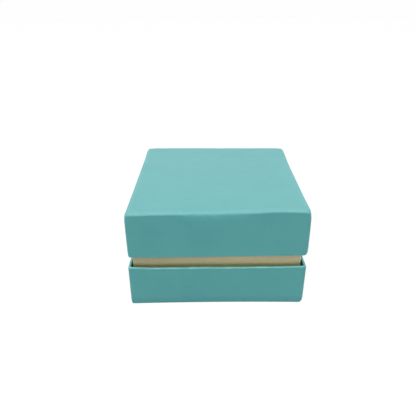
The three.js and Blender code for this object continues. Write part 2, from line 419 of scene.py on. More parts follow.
def warp_lid(co):
    co = co.copy()
    X, Y, Z = co[:, 0] / HALF, co[:, 1] / HALF, (co[:, 2] - LID_RIM) / (TOP - LID_RIM)
    # long soft waves in the boards
    wave = fbm(co, 38.0, 3.1)
    side = np.maximum(np.abs(X), np.abs(Y)) > 0.93
    nx = np.where((np.abs(X) >= np.abs(Y)) & side, np.sign(X), 0.0)
    ny = np.where((np.abs(Y) > np.abs(X)) & side, np.sign(Y), 0.0)
    fade = step01((HALF - np.minimum(np.abs(co[:, 0]), np.abs(co[:, 1]))) / 8.0)
    dz = (0.45 - 0.43 * X * Y + 0.08 * Y) * Z + (-0.12 - 0.21 * X * Y + 0.06 * X) * (1 - Z)
    dz += 0.12 * np.exp(-((co[:, 0] - 12) / 14.0) ** 2) * (1 - Z) * (Y < 0)
    dz += uneven(co[:, 0], LID_FOLD) * step01((-Y - 0.66) / 0.34) * Z ** 4
    dz += uneven(co[:, 0], LID_LOW) * step01((-Y - 0.6) / 0.4) * (1 - Z) ** 2
    dz += (0.11 + 0.08 * np.exp(-((co[:, 0] + 20) / 12.0) ** 2)) * Z * step01((Y + 0.2) / 1.2)
    inward = HALF - np.maximum(np.abs(co[:, 0]), np.abs(co[:, 1]))
    dz += 0.10 * wave * Z * step01(inward / 14.0)
    dx = 0.40 + (0.33 - 0.30 * Z ** 6) * X - 0.24 * np.sign(X) * Z ** 2 * (1 - Y ** 4) * np.abs(X) ** 3
    dx += 0.20 * Z ** 2 * np.clip(-X, 0, 1) ** 3 * np.exp(-((Y - 0.4) / 0.36) ** 2)
    dx += 0.44 * Z ** 2 * np.clip(X, 0, 1) ** 3 * step01((Y - 0.2) / 0.7)
    dx += 0.10 * wave * nx * fade
    dy = 0.08 * Y + 0.10 * wave * ny * fade
    # the top sheet dips a little where it meets the folds
    dz -= 0.05 * np.clip(1 - inward / 1.5, 0, 1) ** 2 * step01((Z - 0.8) / 0.2)
    # softened, slightly bruised stretch of the top front fold
    along = bruise(co[:, 0])
    along *= 1 + 0.20 * np.sin(co[:, 0] / 2.3) + 0.16 * np.sin(co[:, 0] / 1.1 + 1) + 0.08 * np.sin(co[:, 0] / 0.55)
    down, back = TOP - co[:, 2], co[:, 1] + HALF
    dy += 0.46 * along * np.clip(1 - down / 3.1, 0, 1) ** 2 * np.clip(1 - back / 2.5, 0, 1)
    dz -= 0.14 * along * np.clip(1 - back / 1.2, 0, 1) ** 2 * np.clip(1 - down / 3.0, 0, 1)
    out = co + np.stack([dx, dy, dz], axis=1)
    out = round_corner(co, out, (((HALF, -HALF, LID_RIM), 2.7, 0.76, 6.0), ((-HALF, -HALF, LID_RIM), 1.2, 0.4, 4.0)))
    return corner_pull(co, out, (
        ((HALF, -HALF, LID_RIM), (-1, 1, 0.4), 0.16, 4.2), ((-HALF, -HALF, LID_RIM), (1, 1, 0.6), 0.16, 3.2),
        ((HALF, HALF, LID_RIM), (-1, -1, 1), 0.5, 3.6), ((-HALF, HALF, LID_RIM), (1, -1, 1), 0.4, 3.2),
        ((HALF, HALF, TOP), (-1, -1, -0.3), 0.50, 4.6), ((-HALF, HALF, TOP), (1, -1, -0.3), 0.72, 4.8),
        ((-HALF, -HALF, TOP), (1, 0.6, -0.8), 0.22, 2.6),
        ((HALF, -HALF, TOP), (-1, 0.6, -1.0), 0.48, 3.4)))


def warp_base(co):
    co = co.copy()
    X, Y, Z = co[:, 0] / HALF, co[:, 1] / HALF, np.clip(co[:, 2] / BASE_RIM, 0, 1)
    wave = fbm(co, 34.0, 8.4)
    dx = 0.12 * (2 * Z - 1) + (0.44 + 0.16 * Z) * X
    front, back = (0.5 - 0.5 * Y) ** 4, (0.5 + 0.5 * Y) ** 4
    dy = 0.1 * Y + (-0.30 * Z * (1 - X ** 2) + (1 - Z) * (0.04 * (1 - X ** 2) - 0.62 * X ** 2)) * front + (0.2 * Z - 0.15 * (1 - Z)) * (1 - X ** 2) * back
    fade = step01((HALF - np.abs(co[:, 0])) / 8.0)
    dy += 0.09 * wave * np.sign(Y) * (np.abs(Y) > 0.93) * fade
    fade = step01((HALF - np.abs(co[:, 1])) / 8.0)
    dx += 0.09 * wave * np.sign(X) * (np.abs(X) > 0.93) * fade
    # the rim runs a little uneven
    rim = step01((Z - 0.86) / 0.14)
    dz = rim * (0.10 * np.sin(co[:, 0] / 9.0 + 1.0) * np.cos(co[:, 1] / 11.0) + 0.05 * np.sin(co[:, 0] / 2.6 + co[:, 1] / 3.1))
    dz += 0.18 * rim + 0.10 * rim * X ** 4 * Y ** 4 + 0.14 * rim * np.exp(-((co[:, 0] + 5) / 22.0) ** 2)
    near = np.clip(0.5 - 0.5 * Y, 0, 1) ** 2
    dz += rim * near * (0.14 + 0.20 * step01((co[:, 0] + 35) / 40) + 0.20 * np.exp(-((co[:, 0] - 18) / 12.0) ** 2)
                        + uneven(co[:, 0], BASE_LINE))
    out = co + np.stack([dx, dy, dz], axis=1)
    out = round_corner(co, out, (((HALF, -HALF, 0), 2.9, 0.85, 6.0), ((-HALF, -HALF, 0), 1.8, 0.8, 4.0)))
    return corner_pull(co, out, (
        ((HALF, -HALF, 0), (-1, 1, 0.5), 0.14, 3.6), ((-HALF, -HALF, 0), (1, 1, 0.5), 0.12, 3.0),
        ((HALF, HALF, 0), (-1, -1, 1), 0.45, 3.4), ((-HALF, HALF, 0), (1, -1, 1), 0.5, 3.6)))


def warp_neck(co):
    co = co.copy()
    X, Y = co[:, 0] / NECK_HALF, co[:, 1] / NECK_HALF
    up = np.clip((co[:, 2] - 3.0) / 20.0, 0, 1)
    # the hidden top of the left wall leans in, clear of the lid
    co[:, 0] += 0.34 * step01((co[:, 2] - 35.0) / 13.0) * np.clip(-X, 0, 1) ** 3
    wave = fbm(co, 26.0, 5.5)
    outer = step01((np.maximum(np.abs(co[:, 0]), np.abs(co[:, 1])) - (NECK_IN - PAPER)) / (NECK_HALF - NECK_IN + PAPER))
    dx = 0.08 * wave * up * np.sign(X) * (np.abs(X) > 0.93) * step01((NECK_HALF - np.abs(co[:, 1])) / 8)
    dy = 0.08 * wave * up * np.sign(Y) * (np.abs(Y) > 0.93) * step01((NECK_HALF - np.abs(co[:, 0])) / 8)
    dx = dx - 0.07 + 0.19 * X
    front = step01((-Y - 0.2) / 0.7)
    dy = dy + 0.12 * (1 - front) + (0.19 + 0.30 * outer) * front
    return co + np.stack([dx, dy, np.zeros(len(co))], axis=1)


# ------------------------------------------------------------------ materials
def new_material(name):
    m = bpy.data.materials.new(name)
    m.use_nodes = True
    nt = m.node_tree
    bsdf = nt.nodes["Principled BSDF"]
    tex = nt.nodes.new("ShaderNodeTexCoord")
    return m, nt, bsdf, tex.outputs["Object"]


def noise_node(nt, vec, scale, detail=3.0, rough=0.55, distortion=0.0, stretch=None):
    if stretch:
        mp = nt.nodes.new("ShaderNodeMapping")
        mp.inputs["Scale"].default_value = stretch
        nt.links.new(vec, mp.inputs["Vector"])
        vec = mp.outputs["Vector"]
    n = nt.nodes.new("ShaderNodeTexNoise")
    n.inputs["Scale"].default_value = scale
    n.inputs["Detail"].default_value = detail
    n.inputs["Roughness"].default_value = rough
    n.inputs["Distortion"].default_value = distortion
    nt.links.new(vec, n.inputs["Vector"])
    return n.outputs["Fac"]


def ramp(nt, fac, stops):
    n = nt.nodes.new("ShaderNodeValToRGB")
    el = n.color_ramp.elements
    while len(el) < len(stops):
        el.new(0.5)
    for e, (p, c) in zip(el, stops):
        e.position = p
        e.color = (*c, 1.0) if not isinstance(c, (int, float)) else (c, c, c, 1.0)
    nt.links.new(fac, n.inputs["Fac"])
    return n.outputs["Color"]


def mix(nt, fac, a, b, mode="MIX"):
    n = nt.nodes.new("ShaderNodeMix")
    n.data_type = "RGBA"
    n.blend_type = mode
    for sock, val in ((n.inputs["Factor"], fac), (n.inputs["A"], a), (n.inputs["B"], b)):
        if isinstance(val, bpy.types.NodeSocket):
            nt.links.new(val, sock)
        elif isinstance(val, (int, float)):
            sock.default_value = val
        else:
            sock.default_value = (*val, 1.0)
    return n.outputs["Result"]


def calc(nt, op, a, b=0.0, c=None):
    n = nt.nodes.new("ShaderNodeMath")
    n.operation = op
    for k, val in enumerate((a, b) if c is None else (a, b, c)):
        if isinstance(val, bpy.types.NodeSocket):
            nt.links.new(val, n.inputs[k])
        else:
            n.inputs[k].default_value = val
    return n.outputs["Value"]


def attribute(nt, name):
    n = nt.nodes.new("ShaderNodeAttribute")
    n.attribute_name = name
    return n.outputs["Fac"]


def bump(nt, bsdf, parts):
    """parts: (height socket, distance in metres, strength), chained."""
    normal = None
    for height, distance, strength in parts:
        n = nt.nodes.new("ShaderNodeBump")
        n.inputs["Distance"].default_value = distance
        n.inputs["Strength"].default_value = strength
        nt.links.new(height, n.inputs["Height"])
        if normal is not None:
            nt.links.new(normal, n.inputs["Normal"])
        normal = n.outputs["Normal"]
    nt.links.new(normal, bsdf.inputs["Normal"])


def specks(nt, vec, cell, radius, share):
    """Sparse dark fibres and dust set into the paper."""
    v = nt.nodes.new("ShaderNodeTexVoronoi")
    v.inputs["Scale"].default_value = 1.0 / cell
    nt.links.new(vec, v.inputs["Vector"])
    sep = nt.nodes.new("ShaderNodeSeparateColor")
    nt.links.new(v.outputs["Color"], sep.inputs["Color"])
    chosen = calc(nt, "LESS_THAN", sep.outputs["Red"], share)
    inside = calc(nt, "LESS_THAN", v.outputs["Distance"], radius / cell)
    return calc(nt, "MULTIPLY", chosen, inside)


def spot(nt, vec, at, radius):
    """One soft speck at a given place on the paper."""
    n = nt.nodes.new("ShaderNodeVectorMath")
    n.operation = "DISTANCE"
    nt.links.new(vec, n.inputs[0])
    n.inputs[1].default_value = at
    m = nt.nodes.new("ShaderNodeMapRange")
    m.inputs["From Min"].default_value = radius * 0.45
    m.inputs["From Max"].default_value = radius
    m.inputs["To Min"].default_value = 1.0
    m.inputs["To Max"].default_value = 0.0
    nt.links.new(n.outputs["Value"], m.inputs["Value"])
    return m.outputs["Result"]


def covering_paper(name, base, deep, pale, wear_and_highlight, rough=0.5, marks=()):
    m, nt, bsdf, vec = new_material(name)
    cloud = noise_node(nt, vec, 55.0, 3.0, 0.55)
    mottle = noise_node(nt, vec, 260.0, 4.0, 0.6)
    fibre = noise_node(nt, vec, 900.0, 3.0, 0.65, 0.6, (1.0, 0.45, 1.0))
    grain = noise_node(nt, vec, 3200.0, 2.0, 0.5)
    col = ramp(nt, cloud, [(0.30, deep), (0.52, base), (0.75, base)])
    col = mix(nt, calc(nt, "MULTIPLY", mottle, 0.30), col, pale)
    col = mix(nt, 0.10, col, ramp(nt, fibre, [(0.35, (0.55, 0.72, 0.72)), (0.65, (1.0, 1.0, 1.0))]), "MULTIPLY")
    # folds and corners are painted paler: partly rubbed wear, partly a painted highlight along the folds and the rim
    edge = attribute(nt, "edge")
    edge_paling = calc(nt, "MULTIPLY", edge, calc(nt, "MULTIPLY", ramp(nt, mottle, [(0.38, 0.35), (0.62, 1.0)]), 0.42))
    col = mix(nt, edge_paling, col, wear_and_highlight)
    # the cut edge shows the white core of the paper
    col = mix(nt, calc(nt, "MULTIPLY", attribute(nt, "cut"), 0.8), col, (0.80, 0.84, 0.82))
    # painted shade: the paper is darker within a few millimetres of the bottom, where the box stands
    parts = nt.nodes.new("ShaderNodeSeparateXYZ")
    nt.links.new(vec, parts.inputs[0])
    foot = nt.nodes.new("ShaderNodeMapRange")
    foot.inputs["From Min"].default_value = 0.0004
    foot.inputs["From Max"].default_value = 0.0046
    foot.inputs["To Min"].default_value = 1.0
    foot.inputs["To Max"].default_value = 0.0
    nt.links.new(parts.outputs["Z"], foot.inputs["Value"])
    col = mix(nt, calc(nt, "MULTIPLY", foot.outputs["Result"], 0.55), col, tuple(c * 0.72 for c in deep))
    dark = specks(nt, vec, 0.0042, 0.00016, 0.10)
    for at, radius, strength in marks:
        dark = calc(nt, "MAXIMUM", dark, calc(nt, "MULTIPLY", spot(nt, vec, at, radius), strength))
    col = mix(nt, calc(nt, "MULTIPLY", dark, 0.45), col, (0.03, 0.10, 0.10))
    nt.links.new(col, bsdf.inputs["Base Color"])
    rg = nt.nodes.new("ShaderNodeMapRange")
    rg.inputs["To Min"].default_value = rough - 0.05
    rg.inputs["To Max"].default_value = rough + 0.08
    nt.links.new(mottle, rg.inputs["Value"])
    nt.links.new(rg.outputs["Result"], bsdf.inputs["Roughness"])
    bsdf.inputs["IOR"].default_value = 1.47
    pebble = noise_node(nt, vec, 1150.0, 2.0, 0.45)
    bump(nt, bsdf, [(cloud, 0.0006, 0.10), (mottle, 0.00010, 0.20), (pebble, 0.00008, 0.35), (fibre, 0.00004, 0.25), (grain, 0.000012, 0.30)])
    return m


def along_axis(nt, vec, axis, a, b):
    """0 at coordinate a, 1 at coordinate b (metres), clamped."""
    sep = nt.nodes.new("ShaderNodeSeparateXYZ")
    nt.links.new(vec, sep.inputs[0])
    m = nt.nodes.new("ShaderNodeMapRange")
    m.inputs["From Min"].default_value = a
    m.inputs["From Max"].default_value = b
    nt.links.new(sep.outputs[axis], m.inputs["Value"])
    return m.outputs["Result"]


def plain_paper(name, base, deep, rough=0.7, painted_shade=False):
    m, nt, bsdf, vec = new_material(name)
    cloud = noise_node(nt, vec, 70.0, 3.0)
    fibre = noise_node(nt, vec, 700.0, 4.0, 0.65, 0.8, (1.0, 1.0, 0.35))
    grain = noise_node(nt, vec, 2600.0, 2.0, 0.5)
    col = ramp(nt, cloud, [(0.30, deep), (0.62, base)])
    col = mix(nt, 0.18, col, ramp(nt, fibre, [(0.30, (0.70, 0.68, 0.60)), (0.62, (1.0, 1.0, 1.0))]), "MULTIPLY")
    edge_paling = calc(nt, "MULTIPLY", attribute(nt, "edge"), 0.22)
    col = mix(nt, edge_paling, col, tuple(min(1.0, c * 1.25 + 0.05) for c in base))
    dark = specks(nt, vec, 0.0035, 0.00012, 0.12)
    col = mix(nt, calc(nt, "MULTIPLY", dark, 0.35), col, (0.20, 0.15, 0.08))
    if painted_shade:                              # painted shade: darker towards the left end, and darker where the paper goes down into the base
        col = mix(nt, along_axis(nt, vec, "X", -0.006, -0.042), col, (0.84, 0.85, 0.86), "MULTIPLY")
        # painted shade in the gap above the base rim, tinted green like light from the teal rim
        low = calc(nt, "MULTIPLY", along_axis(nt, vec, "Z", 0.0241, 0.0223), ramp(nt, cloud, [(0.3, 1.0), (0.7, 0.8)]))
        col = mix(nt, low, col, (0.66, 0.80, 0.55), "MULTIPLY")
    nt.links.new(col, bsdf.inputs["Base Color"])
    rg = nt.nodes.new("ShaderNodeMapRange")
    rg.inputs["To Min"].default_value = rough - 0.06
    rg.inputs["To Max"].default_value = rough + 0.08
    nt.links.new(fibre, rg.inputs["Value"])
    nt.links.new(rg.outputs["Result"], bsdf.inputs["Roughness"])
    bump(nt, bsdf, [(cloud, 0.0005, 0.10), (fibre, 0.00006, 0.30), (grain, 0.000015, 0.30)])
    return m


def greyboard_material(name):
    m, nt, bsdf, vec = new_material(name)
    cloud = noise_node(nt, vec, 120.0, 4.0)
    fibre = noise_node(nt, vec, 1100.0, 4.0, 0.7, 1.2, (1.0, 0.4, 0.4))
    fleck = specks(nt, vec, 0.0012, 0.00022, 0.35)
    pale = specks(nt, vec, 0.0017, 0.00026, 0.30)
    col = ramp(nt, cloud, [(0.28, (0.235, 0.215, 0.180)), (0.70, (0.345, 0.325, 0.285))])
    col = mix(nt, calc(nt, "MULTIPLY", fibre, 0.5), col, (0.42, 0.395, 0.34))
    col = mix(nt, calc(nt, "MULTIPLY", fleck, 0.55), col, (0.10, 0.095, 0.09))
    col = mix(nt, calc(nt, "MULTIPLY", pale, 0.5), col, (0.62, 0.60, 0.55))
    nt.links.new(col, bsdf.inputs["Base Color"])
    bsdf.inputs["Roughness"].default_value = 0.93
    bump(nt, bsdf, [(fibre, 0.00012, 0.5), (cloud, 0.0003, 0.15)])
    return m


def foam_material(name):
    m, nt, bsdf, vec = new_material(name)
    v = nt.nodes.new("ShaderNodeTexVoronoi")
    v.inputs["Scale"].default_value = 1800.0
    nt.links.new(vec, v.inputs["Vector"])
    cell = v.outputs["Distance"]
    cloud = noise_node(nt, vec, 150.0, 3.0)
    col = ramp(nt, cell, [(0.05, (0.018, 0.018, 0.020)), (0.55, (0.060, 0.060, 0.064))])
    col = mix(nt, calc(nt, "MULTIPLY", cloud, 0.35), col, (0.085, 0.085, 0.090))
    nt.links.new(col, bsdf.inputs["Base Color"])
    bsdf.inputs["Roughness"].default_value = 0.97
    bump(nt, bsdf, [(cell, 0.00025, 0.8)])
    return m


def velvet_material(name):
    m, nt, bsdf, vec = new_material(name)
    nap = noise_node(nt, vec, 48.0, 3.0, 0.5, 0.4)
    tuft = noise_node(nt, vec, 1500.0, 3.0, 0.7)
    fuzz = noise_node(nt, vec, 5200.0, 2.0, 0.6)
    col = ramp(nt, nap, [(0.30, (0.735, 0.675, 0.535)), (0.50, (0.765, 0.706, 0.565)), (0.70, (0.80, 0.742, 0.603))])
    col = mix(nt, 0.35, col, ramp(nt, tuft, [(0.30, (0.80, 0.78, 0.72)), (0.62, (1.0, 1.0, 1.0))]), "MULTIPLY")
    nt.links.new(col, bsdf.inputs["Base Color"])
    bsdf.inputs["Roughness"].default_value = 0.95
    bsdf.inputs["Specular IOR Level"].default_value = 0.2
    bsdf.inputs["Sheen Weight"].default_value = 0.55
    bsdf.inputs["Sheen Roughness"].default_value = 0.45
    bsdf.inputs["Sheen Tint"].default_value = (1.0, 0.96, 0.88, 1.0)
    bump(nt, bsdf, [(nap, 0.0004, 0.12), (tuft, 0.00020, 0.50), (fuzz, 0.00005, 0.6)])
    return m


MARKS = (((-0.02445, -0.03563, 0.0539), 0.00042, 1.0), ((0.01446, 0.00200, 0.0540), 0.00044, 1.0),
         ((-0.00657, 0.00048, 0.0540), 0.00034, 0.6), ((0.02589, -0.01856, 0.0540), 0.00040, 0.8),
         ((-0.01239, -0.04515, 0.04812), 0.00040, 1.0), ((0.02508, -0.04515, 0.04887), 0.00038, 1.0),
         ((0.02634, -0.04515, 0.04796), 0.00038, 1.0), ((0.02299, -0.04515, 0.04743), 0.00032, 0.9))
TEAL = covering_paper("turquoise_paper", (0.071, 0.340, 0.347), (0.063, 0.322, 0.330), (0.085, 0.364, 0.368), (0.19, 0.50, 0.49), 0.44, MARKS)
# the neck paper is made with its painted shade switched on
CREAM = plain_paper("cream_neck_paper", (0.678, 0.584, 0.350), (0.628, 0.542, 0.320), 0.62, True)
LINING = plain_paper("lining_paper", (0.780, 0.740, 0.620), (0.730, 0.690, 0.570), 0.75)
KRAFT = plain_paper("kraft_stay_paper", (0.470, 0.310, 0.165), (0.400, 0.255, 0.130), 0.80)
GREY = greyboard_material("greyboard")
FOAM = foam_material("pad_foam")
VELVET_MAT = velvet_material("pad_velvet")


# ------------------------------------------------------------------ lid
RIM_R = 0.42


def lid_z(s):
    return LID_RIM + s


def make_lid():
    height = TOP - LID_RIM
    outer, inner = wrap_profile(height, 0.44, RIM_R, TURN_IN, PAPER)
    b = Build()
    # the fold band's edge mark paints a highlight along the top front fold and near the corners
    cap = add_cap(b, HALF - R, TOP, fold=(0.8, 4.2))
    rings = [cap]
    for h, r, s, e, c, seam in outer:
        rings.append(add_ring(b, h, r, lid_z(s), e, c, seam))
    for h, r, s, e, c, seam in inner:
        rings.append(add_ring(b, h, r, lid_z(s), e, c, seam))
    for i, (x, y, zz) in enumerate(b.co):    # the softened fold is painted paler: a painted highlight on its edge mark
        if y < -HALF + 0.1 and zz > TOP - 3.2:
            b.edge[i] = max(b.edge[i], 0.95 * float(bruise(x)) * (1 - (TOP - zz) / 3.2))
    start = len(b.faces)
    last = add_cap(b, HALF - R, TOP - PAPER)
    b.faces[start:] = [tuple(reversed(f)) for f in b.faces[start:]]
    rings.append(last)
    for a, c in zip(rings, rings[1:]):
        b.join(c, a)
    b.make("lid_covering_paper", "lid", TEAL, ["lid_wrap"], warp_lid)
    lo, hi = span("lid_top_board")
    plate("lid_top_greyboard", "lid", GREY, ["lid_top_board"], BOARD_OUT, R - 0.2, lo[2], hi[2], 0.3, warp_lid)
    lo, hi = span("lid_front_board")
    for q, side, long_side in ((0, "front", True), (1, "right", False), (2, "back", True), (3, "left", False)):
        o, i = long_board(BOARD_OUT, THICK, R - 0.2, q) if long_side else short_board(BOARD_OUT, THICK, q)
        band(f"lid_{side}_greyboard", "lid", GREY, [f"lid_{side}_board"], o, i, lo[2], hi[2], 0.28, warp_lid)
    lo, hi = span("lid_corner_stay_front_left")
    for q, corner in ((0, "front_left"), (1, "front_right"), (2, "back_right"), (3, "back_left")):
        o, i = stay(BOARD_OUT, 12.0, 0.08, R - 0.12, q)
        band(f"lid_stay_{corner}", "lid", KRAFT, [f"lid_corner_stay_{corner}"], o, i, lo[2] + 0.35, hi[2] - 0.4, 0.0, warp_lid, 3.0)
    lo, hi = span("lid_liner")
    plate("lid_lining_sheet", "lid", LINING, ["lid_liner"], hi[0], 0.6, lo[2], hi[2], 0.03, warp_lid, 14)


# ------------------------------------------------------------------ base
def make_base():
    height = BASE_RIM - PAPER
    # a strong edge mark on the base rim paints a highlight along it
    outer, inner = wrap_profile(height, 0.32, RIM_R, TURN_IN, PAPER, 2.6)
    b = Build()
    z = lambda s: BASE_RIM - s
    rings = []
    # the margin turned under the base, from its cut edge outwards
    low = PAPER
    edge_in = HALF - TURN_UNDER
    rings.append(add_ring(b, edge_in, 0.4, low + PAPER, cut=1.0))
    for h in [edge_in] + levels(edge_in + 0.5, HALF - R - 0.4, 3.0):
        rings.append(add_ring(b, h, 0.4 + (R - 0.9) * (h - edge_in) / TURN_UNDER, low, cut=1.0 if h == edge_in else 0.0))
    for h, r, s, e, c, seam in outer:
        rings.append(add_ring(b, h, r, z(s), e, c, seam))
    for h, r, s, e, c, seam in inner:
        rings.append(add_ring(b, h, r, z(s), e, c, seam))
    for h in levels(HALF - R - 0.4, edge_in + 0.5, 5.0):
        rings.append(add_ring(b, h, 0.4 + (R - 0.9) * (h - edge_in) / TURN_UNDER, low + PAPER))
    for a, c in zip(rings, rings[1:]):
        b.join(a, c)
    b.join(rings[-1], rings[0])
    b.make("base_covering_paper", "base", TEAL, ["base_wrap"], warp_base)
    lo, hi = span("base_foot_sheet")
    plate("base_underside_sheet", "base", TEAL, ["base_foot_sheet"], hi[0], 0.8, lo[2], hi[2], 0.03, warp_base, 14, cut=0.5)
    lo, hi = span("base_bottom_board")
    plate("base_bottom_greyboard", "base", GREY, ["base_bottom_board"], BOARD_OUT, R - 0.2, lo[2], hi[2], 0.3, warp_base, 14)
    lo, hi = span("base_front_board")
    for q, side, long_side in ((0, "front", True), (1, "right", False), (2, "back", True), (3, "left", False)):
        o, i = long_board(BOARD_OUT, THICK, R - 0.2, q) if long_side else short_board(BOARD_OUT, THICK, q)
        band(f"base_{side}_greyboard", "base", GREY, [f"base_{side}_board"], o, i, lo[2], hi[2], 0.28, warp_base)
    lo, hi = span("base_corner_stay_front_left")
    for q, corner in ((0, "front_left"), (1, "front_right"), (2, "back_right"), (3, "back_left")):
        o, i = stay(BOARD_OUT, 12.0, 0.08, R - 0.12, q)
        band(f"base_stay_{corner}", "base", KRAFT, [f"base_corner_stay_{corner}"], o, i, lo[2] + 0.35, hi[2] - 0.35, 0.0, warp_base, 3.0)
    lo, hi = span("base_liner")
    plate("base_lining_sheet", "base", LINING, ["base_liner"], hi[0], 0.6, lo[2], hi[2], 0.03, warp_base, 14)


# ------------------------------------------------------------------ neck
def make_neck():
    t = PAPER
    rb = 0.45
    rn = 0.85
    inn = NECK_IN - t
    z0, z1 = LINER_Z, NECK_TOP
    b = Build()
    prof = []
    for z in [z0] + levels(z0 + 0.4, z1 - rb - 0.3, 2.0) + [z1 - rb]:
        prof.append((NECK_HALF, rn, z, 0.0, 0.0))
    for k in range(1, 7):
        a = math.radians(15 * k)
        prof.append((NECK_HALF - rb * (1 - math.cos(a)), rn - rb * (1 - math.cos(a)), z1 - rb + rb * math.sin(a), 0.6, 0.0))
    for k in range(6, -1, -1):
        a = math.radians(15 * k)
        prof.append((inn + rb * (1 - math.cos(a)), 0.25 + rb * (1 - math.cos(a)), z1 - rb + rb * math.sin(a), 0.5, 0.0))
    for z in levels(z1 - rb - 0.3, z0 + 0.4, 2.4) + [z0]:
        prof.append((inn, 0.25, z, 0.0, 0.0))
    for z in levels(z0, z1 - rb, 6.0):
        prof.append((inn + t, 0.25 + t, z, 0.0, 1.0 if z == z0 else 0.0))
    for k in range(1, 7):
        a = math.radians(15 * k)
        prof.append((inn + rb - (rb - t) * math.cos(a), 0.25 + rb - (rb - t) * math.cos(a), z1 - rb + (rb - t) * math.sin(a), 0, 0))
    for k in range(6, -1, -1):
        a = math.radians(15 * k)
        prof.append((NECK_HALF - rb + (rb - t) * math.cos(a), rn - rb + (rb - t) * math.cos(a), z1 - rb + (rb - t) * math.sin(a), 0, 0))
    for z in levels(z1 - rb - 1, z0, 6.0):
        prof.append((NECK_HALF - t, rn - t, z, 0.0, 1.0 if z == z0 else 0.0))
    rings = [add_ring(b, h, r, z, e, c) for h, r, z, e, c in prof]
    for a, c in zip(rings, rings[1:]):
        b.join(a, c)
    b.join(rings[-1], rings[0])
    b.make("neck_covering_paper", "base", CREAM, ["neck_wrap"], warp_neck)
    lo, hi = span("neck_front_board")
    for q, side, long_side in ((0, "front", True), (1, "right", False), (2, "back", True), (3, "left", False)):
        tk = NECK_OUT - NECK_IN
        o, i = long_board(NECK_OUT, tk, rn - t, q) if long_side else short_board(NECK_OUT, tk, q)
        band(f"neck_{side}_greyboard", "base", GREY, [f"neck_{side}_board"], o, i, lo[2], hi[2], 0.28, warp_neck, 4.0)


# ------------------------------------------------------------------ pad
SLIT_LINES = [-2.7, -2.3, -1.95, -1.6, -1.3, -1.05, -0.85, -0.68, -0.55, -0.47, -0.42, -0.3, 0.0,
              0.3, 0.42, 0.47, 0.55, 0.68, 0.85, 1.05, 1.3, 1.6, 1.95, 2.3, 2.7]


def pad_shape(inside):
    """Crowned velvet over foam, tucked down into the slit."""
    def lip(y):
        y = abs(y) - (VELVET if inside else 0.0)
        if y >= 2.2:
            return 0.0
        if y > 0.5:
            return 1.7 - math.sqrt(max(0.0, 1.7 ** 2 - (2.2 - y) ** 2))
        if y > 0.44:
            return 1.7 + 2.5 * (0.5 - y) / 0.06
        return 14.2

    def shape(x, y, z):
        k = max(abs(x), abs(y)) / PAD_HALF
        top = (z - (PAD_TOP - 4.0)) / 4.0
        if top > 0:
            a, c = abs(x) / PAD_HALF, abs(y) / PAD_HALF
            crown = 0.45 * (1 - a ** 6) * (1 - c ** 6)
            puff = 0.16 * noise.noise(Vector((x / 13.0, y / 13.0, 4.0)))
            ends = 1 - max(0.0, min(1.0, (abs(x) - 37.5) / 3.4)) * 0.93
            z += (crown + puff * (1 - a ** 8) * (1 - c ** 8)) * min(1.0, top) - lip(y) * ends * min(1.0, top)
        return x, y, z
    return shape


def blow_up(b, n, lift, cap):
    """Runs the outer velvet (the first n points) as cloth under pressure, held in the slit and round its foot.

    Gives every point's movement in mm: scaled so the largest is lift, and no point moves further than cap.
    """
    k = 12.0                                 # solved at twelve times the size and brought back
    rest = np.array(b.co[:n], float)
    faces = [f for f in b.faces if max(f) < n]
    up = sum(np.cross(rest[f[1]] - rest[f[0]], rest[f[2]] - rest[f[0]])[2] for f in faces[:400])
    if up < 0:
        faces = [tuple(reversed(f)) for f in faces]
    me = bpy.data.meshes.new("velvet_cloth")
    me.from_pydata([tuple(p) for p in rest * MM * k], [], faces)
    me.update()
    ob = bpy.data.objects.new("velvet_cloth", me)
    bpy.context.scene.collection.objects.link(ob)
    held = ob.vertex_groups.new(name="held")
    low = (rest[:, 2] < PAD_TOP - 10.0) | (np.abs(rest[:, 1]) < 0.75) | ((np.abs(rest[:, 1]) < 2.3) & (rest[:, 2] < PAD_TOP - 1.6) & (np.abs(rest[:, 0]) < PAD_HALF - 1.0))
    held.add([int(i) for i in np.nonzero(low)[0]], 1.0, "REPLACE")
    mod = ob.modifiers.new("cloth", "CLOTH")
    st = mod.settings
    st.quality = 6
    st.mass = 0.15
    st.tension_stiffness = st.compression_stiffness = 18.0
    st.shear_stiffness = 8.0
    st.bending_stiffness = 1.5
    st.air_damping = 4.0
    st.use_pressure = True
    st.uniform_pressure_force = 4.0
    st.vertex_group_mass = "held"
    st.effector_weights.gravity = 0.0
    mod.collision_settings.use_collision = False
    mod.collision_settings.use_self_collision = False
    mod.point_cache.frame_start, mod.point_cache.frame_end = 1, 20
    scene = bpy.context.scene
    for f in range(1, 21):
        scene.frame_set(f)
    ev = ob.evaluated_get(bpy.context.evaluated_depsgraph_get())
    shaped = ev.to_mesh()
    now = np.empty(len(shaped.vertices) * 3)
    shaped.vertices.foreach_get("co", now)
    ev.to_mesh_clear()
    move = now.reshape(-1, 3) / k / MM - rest
    bpy.data.objects.remove(ob)
    bpy.data.meshes.remove(me)
    scene.frame_set(1)
    size = np.linalg.norm(move, axis=1)
    if not np.isfinite(size).all() or np.percentile(size, 99) < 1e-6:
        return np.zeros_like(rest)
    move *= lift / np.percentile(size, 99)
    size = np.linalg.norm(move, axis=1)
    return move * np.minimum(1.0, cap / np.maximum(size, 1e-9))[:, None]


